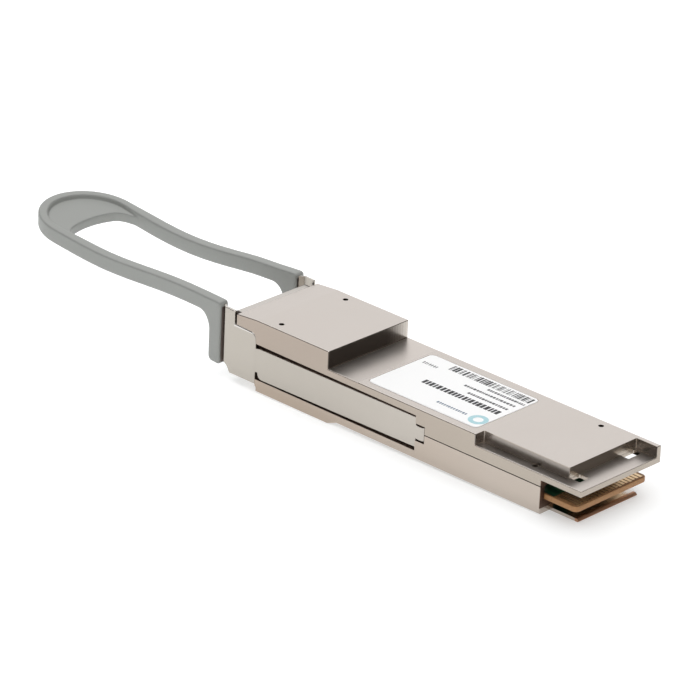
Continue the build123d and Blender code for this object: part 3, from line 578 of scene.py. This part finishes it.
def make_tab():
    h = 0.14
    gx = np.arange(LOOP_END - 3.5 * h, LEG_X1 + 4 * h, h)
    gy = np.arange(0, 72) * h
    gy = np.concatenate([-gy[:0:-1], gy])
    gz = np.arange(LEG_Z0 - 3.5 * h, 13.4, h)
    top = cubic([(LEG_X1 - 0.6, 12.02)] + TAB_TOP[1:], (-1, -0.002), (-1, 0.11))
    low = cubic([(-80.9, 11.9 - TAB_H)] + [(x, z - TAB_H) for x, z in TAB_TOP[2:]], (-1, -0.01), (-1, 0.11))
    knee = [(-80.9, 11.9 - TAB_H)]
    for a in range(5, 90, 5):
        knee.append((-80.9 + 2.5 * math.sin(math.radians(a)), 11.9 - TAB_H - 2.9 * (1 - math.cos(math.radians(a)))))
    side = top + low[::-1] + knee[1:] + [(LEG_X0, 11.9 - TAB_H - 2.9), (LEG_X0, LEG_Z0 + 0.9), (LEG_X0 + 0.07, LEG_Z0 + 0.55),
                                         (LEG_X0 + 0.2, LEG_Z0 + 0.3), (LEG_X0 + 0.45, LEG_Z0 + 0.08), (LEG_X0 + 0.8, LEG_Z0)]
    side += arc(LEG_X1 - 0.3, LEG_Z0 + 0.3, 0.3, 270, 360, 8) + [(LEG_X1, 11.42)] + arc(LEG_X1 - 0.6, 11.42, 0.6, 0, 90, 10)[1:-1]
    d_side = flat_distance(side, gx, gz)[:, None, :]
    outer = flat_distance(tab_outline(0, 0), gx, gy)
    # the opening runs out between the legs
    inner = flat_distance(tab_outline(2.05, 1.65), gx, gy)
    ring = np.maximum(outer, -inner)[:, :, None]
    tabf = round_meet(d_side, ring, 0.38)
    # thin web across the end
    wt_ = [(x, z - 0.75) for x, z in cubic(TAB_TOP)]
    wb_ = [(x, z - (TAB_H - 0.2)) for x, z in cubic(TAB_TOP)]
    d_w = flat_distance(wt_ + wb_[::-1], gx, gz)[:, None, :]
    edge = cubic([(-110.9, 7.2), (-112.8, 6.45), (-114.5, 5.6), (-115.45, 3.6), (-115.85, 0), (-115.45, -3.6), (-114.5, -5.6),
                  (-112.8, -6.45), (-110.9, -7.2)])
    cres = flat_distance(edge + [(-110.9, -12), (-127, -12), (-127, 12), (-110.9, 12)], gx, gy)
    plan = np.maximum(flat_distance(tab_outline(0.7, 0.7), gx, gy), cres)[:, :, None]
    webf = round_meet(d_w, plan, 0.25)
    F = soft_join(tabf, webf, 0.22)
    # shallow seats in the leg ends
    def cutter(x0, x1, y0, y1, z0, z1):
        X, Y, Z = gx[:, None, None], np.abs(gy)[None, :, None], gz[None, None, :]
        return np.maximum(np.maximum(np.maximum(x0 - X, X - x1), np.maximum(y0 - Y, Y - y1)), np.maximum(z0 - Z, Z - z1))
    F = np.maximum(F, -cutter(-75.98, -60, 8.12, 9.08, LEG_Z0 + 0.45, 11.1))
    v, f = grid_surface(F, gx, gy, gz)
    me = bpy.data.meshes.new("pull_tab_moulded")
    me.from_pydata([tuple(P(*q)) for q in v], [], f.tolist())
    me.update()
    for p in me.polygons:
        p.use_smooth = True
    return me


tab = new_object("pull_tab_moulded", make_tab(), MATS["tab_plastic"], "latch_slider")
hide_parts("pull_tab")


# return springs: the same coil on both sides
def coil_mesh(y, turns=8.0, r=0.62, wire=0.11, x0=-62.44, x1=-57.26, z=3.0, seg=28, ring=10):
    verts, faces = [], []
    n = int(turns * seg)
    for i in range(n + 1):
        t = i / n
        a = 2 * math.pi * turns * t
        c = Vector((x0 + (x1 - x0) * t, y + r * math.sin(a), z + r * math.cos(a)))
        rad = Vector((0, math.sin(a), math.cos(a)))
        tang = Vector(((x1 - x0), 2 * math.pi * turns * r * math.cos(a), -2 * math.pi * turns * r * math.sin(a))).normalized()
        side = tang.cross(rad).normalized()
        for k in range(ring):
            b = 2 * math.pi * k / ring
            p = c + wire * (math.cos(b) * rad + math.sin(b) * side)
            verts.append(P(*p))
    for i in range(n):
        for k in range(ring):
            k2 = (k + 1) % ring
            faces.append((i * ring + k, i * ring + k2, (i + 1) * ring + k2, (i + 1) * ring + k))
    faces.append(tuple(range(ring))[::-1])
    faces.append(tuple(n * ring + k for k in range(ring)))
    me = bpy.data.meshes.new("coil")
    me.from_pydata(verts, [], faces)
    bm = bmesh.new()
    bm.from_mesh(me)
    bmesh.ops.recalc_face_normals(bm, faces=bm.faces)
    bm.to_mesh(me)
    bm.free()
    for p in me.polygons:
        p.use_smooth = True
    return me


for side, y in (("left", 7.65), ("right", -7.65)):
    ob = bpy.data.objects.new("return_coil_" + side, coil_mesh(y))
    scene.collection.objects.link(ob)
    ob.data.materials.append(MATS["spring_steel"].m)
    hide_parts("return_spring_" + side)
    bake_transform(ob)


# label print: plain bars and blocks only
LABEL_Z = 8.5 + 0.04


def flat_quads(name, rects, z, thick, mat):
    """Thin raised rectangles with softened corners, given by their corners in design millimetres."""
    bm = bmesh.new()
    for corners in rects:
        lower = [bm.verts.new(P(x, y, z - 0.012)) for x, y in corners]
        upper = [bm.verts.new(P(x, y, z + thick)) for x, y in corners]
        n = len(corners)
        bm.faces.new(upper)
        bm.faces.new(lower[::-1])
        for i in range(n):
            j = (i + 1) % n
            bm.faces.new((lower[i], lower[j], upper[j], upper[i]))
    bmesh.ops.recalc_face_normals(bm, faces=bm.faces)
    me = bpy.data.meshes.new(name)
    bm.to_mesh(me)
    bm.free()
    return new_object(name, me, mat, "module")


def rect(x0, x1, y0, y1, c=0.04):
    c = min(c, abs(x1 - x0) * 0.3, abs(y1 - y0) * 0.3)
    return [(x0 + c, y0), (x1 - c, y0), (x1, y0 + c), (x1, y1 - c), (x1 - c, y1), (x0 + c, y1), (x0, y1 - c), (x0, y0 + c)]


class Rand:
    """Small fixed-sequence generator, the same on each run."""

    def __init__(self, seed):
        self.s = seed

    def __call__(self):
        self.s = (self.s * 1103515245 + 12345) % 2147483648
        return self.s / 2147483648


def dashes(x0, x1, y, h, seed, lo=0.35, hi=0.9, gap=0.22):
    """A row of short blocks that stands for a line of print."""
    rnd = Rand(seed)
    out = []
    x = x0
    while x < x1 - lo:
        w = min(lo + (hi - lo) * rnd(), x1 - x)
        out.append(rect(x, x + w, y - h / 2, y + h / 2))
        x += w + gap * (0.8 + 0.5 * rnd())
    return out


bars = []
rnd = Rand(7)
x = -39.85
while x < -23.3:
    w = (0.11, 0.11, 0.22, 0.22, 0.33, 0.44)[int(rnd() * 6)]
    bars.append(rect(x, min(x + w, -23.2), 4.95, 6.75, c=0.01))
    x += w + (0.11, 0.14, 0.22, 0.33)[int(rnd() * 4)]
flat_quads("label_bar_block", bars, LABEL_Z, 0.006, MATS["print_black"])
flat_quads("label_rule_bold", dashes(-39.5, -23.8, -1.03, 1.35, 3, 0.35, 0.8, 0.2), LABEL_Z, 0.006, MATS["print_black"])
small = dashes(-30.7, -23.0, 4.05, 0.55, 11, 0.22, 0.5, 0.13)
small += dashes(-34.2, -23.5, 2.57, 0.55, 13, 0.22, 0.55, 0.13)
small += dashes(-32.0, -23.7, 0.9, 0.55, 17, 0.22, 0.55, 0.13)
small += dashes(-44.3, -41.2, 4.1, 0.7, 19, 0.16, 0.26, 0.22)
flat_quads("label_rule_small", small, LABEL_Z, 0.006, MATS["print_grey"])
flat_quads("label_rule_blue", dashes(-33.0, -26.9, -5.06, 0.55, 23, 0.2, 0.4, 0.16), LABEL_Z, 0.006, MATS["print_slate"])


def flat_ring(name, cx, cy, r0, r1, z, thick, mat, seg=64):
    """A thin raised plain ring."""
    bm = bmesh.new()
    loops = []
    for r, h in ((r0, -0.012), (r1, -0.012), (r1, thick), (r0, thick)):
        loops.append([bm.verts.new(P(cx + r * math.cos(2 * math.pi * i / seg), cy + r * math.sin(2 * math.pi * i / seg), z + h))
                      for i in range(seg)])
    for a, b in zip(loops, loops[1:] + loops[:1]):
        for i in range(seg):
            j = (i + 1) % seg
            bm.faces.new((a[i], a[j], b[j], b[i]))
    bmesh.ops.recalc_face_normals(bm, faces=bm.faces)
    me = bpy.data.meshes.new(name)
    bm.to_mesh(me)
    bm.free()
    return new_object(name, me, mat, "module")


flat_ring("label_ring", -24.4, -5.15, 0.82, 1.62, LABEL_Z, 0.006, MATS["print_teal"])

# ---------------------------------------------------------------------------
# floor and light
# ---------------------------------------------------------------------------
slope = 0.75 / 50.05
ang = math.atan(slope)
fm = bpy.data.meshes.new("floor")
S = 3.0
fm.from_pydata([(-S, -S, 0), (S, -S, 0), (S, S, 0), (-S, S, 0)], [], [(0, 1, 2, 3)])
floor = bpy.data.objects.new("floor", fm)
scene.collection.objects.link(floor)
floor.matrix_world = Matrix.Translation(P(-52.05, 0, -0.755)) @ Matrix.Rotation(-ang, 4, "Y")
fmat = plastic("floor_white", (0.675, 0.675, 0.672), 0.8, var=0.003, bump=0.01, scale=300)
# the floor glows, more strongly towards the pull-tab end and with a faint cool tint, which lifts its contact shadow:
# painted light
fmat.set(Emission_Color=(0.972, 0.99, 1.0, 1.0), Emission_Strength=0.32)
fsep = fmat.n("ShaderNodeSeparateXYZ")
fmat.link(fmat.tc.outputs["Object"], fsep.inputs[0])
fmat.link(fmat.maprange(fsep.outputs[0], -0.035, 0.055, 0.54, 0.32), fmat.bsdf.inputs["Emission Strength"])
fm.materials.append(fmat.m)

world = bpy.data.worlds.new("studio")
scene.world = world
world.use_nodes = True
wt = world.node_tree
wt.nodes.clear()


def wn(kind, **kw):
    nd = wt.nodes.new(kind)
    for k, v in kw.items():
        setattr(nd, k, v)
    return nd


def wmath(op, a, b=0.0):
    nd = wn("ShaderNodeMath", operation=op)
    for i, v in enumerate((a, b)):
        if isinstance(v, (int, float)):
            nd.inputs[i].default_value = v
        else:
            wt.links.new(v, nd.inputs[i])
    return nd.outputs[0]


def wstep(v, a, b):
    nd = wn("ShaderNodeMapRange", interpolation_type="SMOOTHSTEP")
    nd.inputs["From Min"].default_value = a
    nd.inputs["From Max"].default_value = b
    wt.links.new(v, nd.inputs["Value"])
    return nd.outputs[0]


def wmix(fac, a, b):
    nd = wn("ShaderNodeMixRGB")
    wt.links.new(fac, nd.inputs[0])
    for i, v in ((1, a), (2, b)):
        if isinstance(v, tuple):
            nd.inputs[i].default_value = (*v, 1)
        else:
            wt.links.new(v, nd.inputs[i])
    return nd.outputs[0]


wo = wn("ShaderNodeOutputWorld")
bg = wn("ShaderNodeBackground")
wt.links.new(bg.outputs[0], wo.inputs[0])
tc = wn("ShaderNodeTexCoord")
dot = wn("ShaderNodeVectorMath", operation="DOT_PRODUCT")
wt.links.new(tc.outputs["Generated"], dot.inputs[0])
dot.inputs[1].default_value = (-0.675, 0.738, 0.0)
sep = wn("ShaderNodeSeparateXYZ")
wt.links.new(tc.outputs["Generated"], sep.inputs[0])
A = dot.outputs["Value"]
Z = sep.outputs[2]
backdrop = wstep(A, 0.30, 0.50)
front = wmath("MULTIPLY", wstep(wmath("MULTIPLY", A, -1.0), 0.30, 0.48), wstep(Z, 0.52, 0.68))
low = wmath("MULTIPLY", wstep(wmath("MULTIPLY", A, -1.0), 0.55, 0.80), wstep(Z, 0.02, 0.12))
top = wstep(Z, 0.74, 0.86)
c = wmix(backdrop, (0.046, 0.039, 0.034), (0.875, 0.87, 0.87))
c = wmix(low, c, (0.16, 0.155, 0.15))
c = wmix(front, c, (1.9, 1.9, 1.9))
c = wmix(top, c, (2.1, 2.1, 2.1))
wt.links.new(c, bg.inputs[0])
bg.inputs[1].default_value = 1.0
